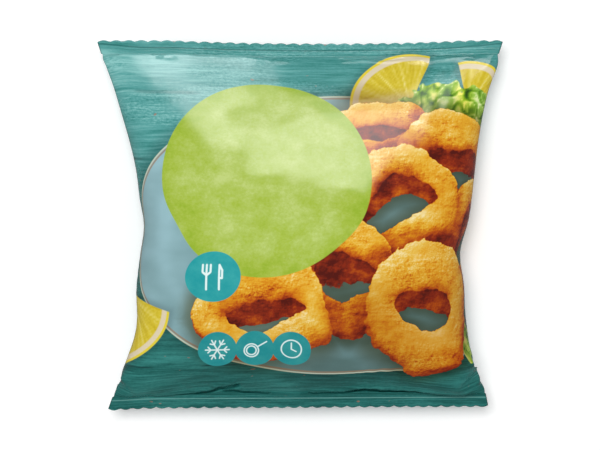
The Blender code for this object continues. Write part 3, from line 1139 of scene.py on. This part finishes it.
def sign(n, place, centre, half, colour, drawing, line_half, under):
    """A round sign with a white line drawing."""
    away = drawing(n, n.vector("SUBTRACT", place, (*centre, 0.0)))
    colour = n.blend(n.step(away, line_half + 0.22, line_half - 0.22), colour, LINE_WHITE)
    return n.blend(disc(n, place, centre, half)[0], under, colour)


def labels(n, place, under):
    """The large lime disc, mottled like paint on paper, and the small round signs."""
    mottle = n.noise(place, 17, 13, 6, 0.66)
    cover, reach = disc(n, place, DISC_CENTRE, DISC_HALF)
    tone = n.more(mottle, n.ripple(place, 1.6, 1.3, 2, 0.6), 0.30)
    tone = n.more(tone, n.step(reach, 0.72, 1.0), -0.20)
    colour = n.blend(cover, under, n.ramp(tone, LIME))
    teal = n.ramp(mottle, TEAL)
    small = (SMALL_DISC_CENTRE, SMALL_DISC_HALF, teal, cutlery, SMALL_DISC_LINE)
    colour = sign(n, place, *small, colour)
    teal = n.lit(teal, SIGN_LIGHT)
    for centre, drawing in zip(SIGN_CENTRES, (snowflake, frying_pan, clock)):
        colour = sign(n, place, centre, SIGN_HALF, teal, drawing, SIGN_LINE, colour)
    return colour


def back_panel(n, u, v, front):
    """The plain teal back with a bare pale panel on each side of the fin seal."""
    across = n.math("ABSOLUTE", u)
    sides = [
        n.step(value, line, line + soft)
        for value, (low, high) in ((across, PANEL_ACROSS), (v, PANEL_ALONG))
        for line, soft in ((low, PANEL_SOFT), (high, -PANEL_SOFT))
    ]
    back = n.blend(n.times(*sides), BACK_TEAL, PANEL)
    return n.blend(n.step(across, *FRONT_END), front, back)


def film_finish(n, colour, place):
    """The film's satin gloss with faint crinkles."""
    n.join(colour, n.shader["Base Color"])
    n.join(n.scale(n.noise(place, 9, 9), 0.3, 0.7, *FILM_ROUGHNESS), n.shader["Roughness"])
    crinkle = n.noise(place, 2.4, 2.4, 3, 0.55)
    depth = {"Strength": CRINKLE_STRENGTH, "Distance": CRINKLE_HEIGHT, "Height": crinkle}
    n.join(n.add("Bump", depth), n.shader["Normal"])
    return n.owner


def printed_film():
    """The whole print, layer over layer, and the film's finish."""
    n = Nodes(bpy.data.materials.new("printed_film"))
    place = n.add("UVMap", {}, uv_map="film")
    u, v, _ = n.split(place)
    colour = plate(n, place, wood(n, u, v))
    grain = n.ripple(place, 2.2, 2.2, 3, 0.6)
    for index in range(len(SLICES)):
        colour = lemon_slice(n, f"slice_{index + 1}", grain, colour)
    colour = leaves(n, grain, colour)
    colour = rings(n, place, u, v, colour)
    colour = labels(n, place, colour)
    colour = back_panel(n, u, v, colour)
    return film_finish(n, colour, place)


def fin_film():
    """The fin seal's plain teal film."""
    n = Nodes(bpy.data.materials.new("fin_film"))
    place = n.vector("MULTIPLY", n.add("TexCoord", {}, 3), (1 / MM,) * 3)
    return film_finish(n, FIN_TEAL, place)


def floor_white():
    """A white light table."""
    n = Nodes(bpy.data.materials.new("floor_white"))
    finish = {
        "Base Color": TABLE_WHITE,
        "Roughness": 0.9,
        "Specular IOR Level": 0.1,
        "Emission Color": (1, 1, 1, 1),
        "Emission Strength": TABLE_GLOW,
    }
    for name, value in finish.items():
        n.join(value, n.shader[name])
    return n.owner


film, film_points = build_film()
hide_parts("pack")
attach(film, "root")
film_print(film.data)
film.data.materials.append(printed_film())
fin = new_piece("fin_seal", *fin_seal(film_points))
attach(fin, "root")
fin.data.materials.append(fin_film())


# ---- camera and light

CAMERA_HEIGHT = 1.6
SENSOR_WIDTH = 36
PHOTO_WIDTH_PX, MM_PER_PX = 600, 0.5459
FILL_LIGHT, FILL_GLOSS = 0.45, 0.15
# Area lights: name, place, size and power. The veils show only in the film's gloss, and the
# key never does.
VEILS = (
    ("upper_veil", (0.027, 0.895, 0.835), (0.49, 0.495), 4.1),
    ("lower_veil", (0.033, 1.101, 0.531), (0.49, 0.24), 1.0),
)
KEY = ("key", (-0.16, 0.24, 1.95), (0.62, 0.62), 24)
FLOOR_HALF = 3.0


def make_camera():
    """Straight above the pack; the seals' height is in the photo's scale."""
    camera = new_object("camera", bpy.data.cameras.new("camera"))
    camera.location = (0.0, 0.0, CAMERA_HEIGHT)
    width = PHOTO_WIDTH_PX * MM_PER_PX * MM
    camera.data.sensor_width = SENSOR_WIDTH
    camera.data.lens = SENSOR_WIDTH * (CAMERA_HEIGHT - SEAL_HEIGHT) / width
    bpy.context.scene.camera = camera


def soft_box(name, place, size, power):
    """An area light that faces the pack."""
    data = bpy.data.lights.new(name, "AREA")
    data.shape = "RECTANGLE"
    data.size, data.size_y = size
    data.energy = power
    lamp = new_object(name, data)
    lamp.location = place
    lamp.rotation_euler = (-Vector(place)).to_track_quat("-Z", "Y").to_euler()
    return lamp


def studio_world():
    """Even white light from all round, which the gloss shows at a fraction."""
    n = Nodes(bpy.data.worlds.new("studio"), "Background")
    n.join((1, 1, 1, 1), n.shader["Color"])
    gloss = n.add("LightPath", {}, "Is Glossy Ray")
    n.join(n.scale(gloss, 0, 1, FILL_LIGHT, FILL_GLOSS), n.shader["Strength"])
    bpy.context.scene.world = n.owner


make_camera()
for veil in VEILS:
    soft_box(*veil).visible_diffuse = False
soft_box(*KEY).visible_glossy = False
studio_world()
bpy.context.scene.view_settings.view_transform = "Standard"

corners = np.array([(-1, -1, 0), (1, -1, 0), (1, 1, 0), (-1, 1, 0)]) * FLOOR_HALF
floor = new_piece("floor", corners, [(0, 1, 2, 3)])
floor.visible_glossy = False
floor.data.materials.append(floor_white())
